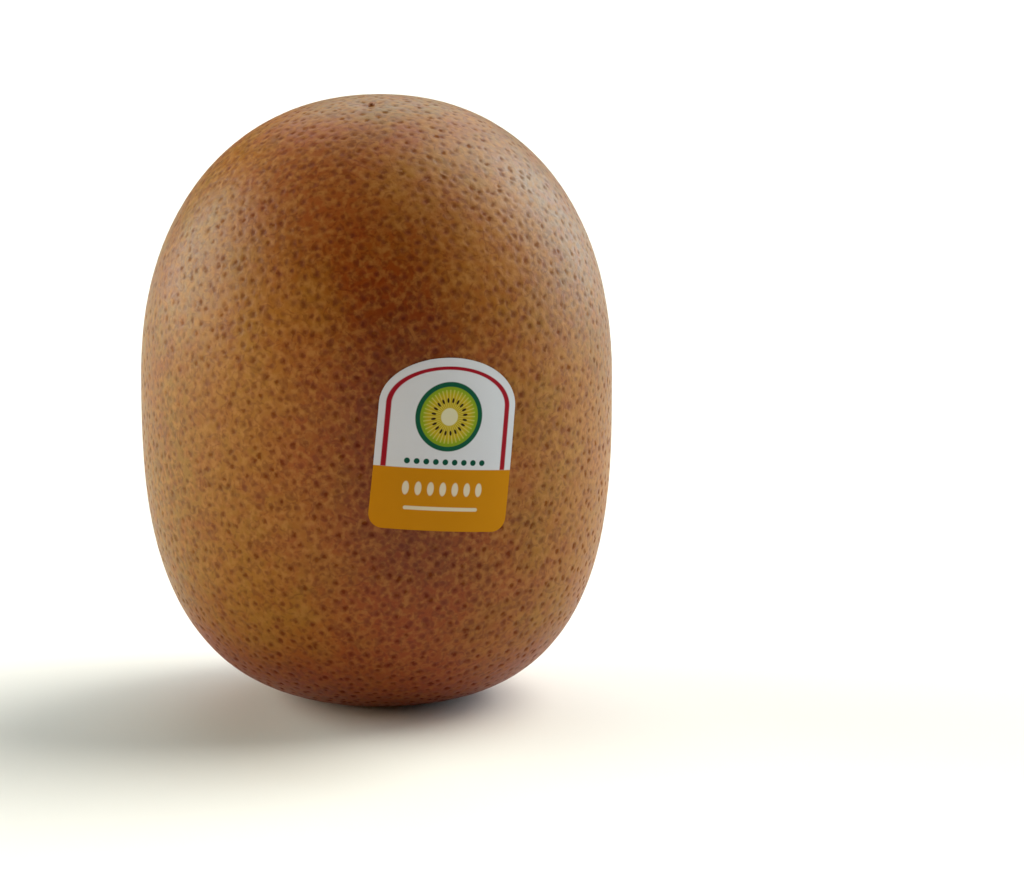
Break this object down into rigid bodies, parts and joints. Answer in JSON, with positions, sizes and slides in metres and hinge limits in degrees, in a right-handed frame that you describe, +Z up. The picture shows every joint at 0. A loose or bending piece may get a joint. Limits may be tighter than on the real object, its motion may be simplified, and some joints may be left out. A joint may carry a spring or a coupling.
{
  "type": "golden kiwi fruit",
  "caption": "Whole golden kiwi fruit standing on its blunt stem end, with lenticel-pitted brown skin, a dry blossom-end knob and a small film label.",
  "frame": {"origin": "on the fruit's axis, level with the flat of the stem end that it rests on", "axes": "+Z up from the stem end to the blossom end; -Y towards the side that carries the label; +X to the right as seen from that side"},
  "size_m": [0.055, 0.0541, 0.071],
  "materials": {
    "kiwi_skin": "semi-matt golden-brown fruit skin, dotted with darker round lenticels in small pits, almost hairless",
    "label_film": "thin satin film, white above and gold below, with a plain printed kiwi-slice motif"
  },
  "bodies": {
    "root": {"fruit": "kiwi_skin", "label": "label_film"}
  },
  "joints": []
}
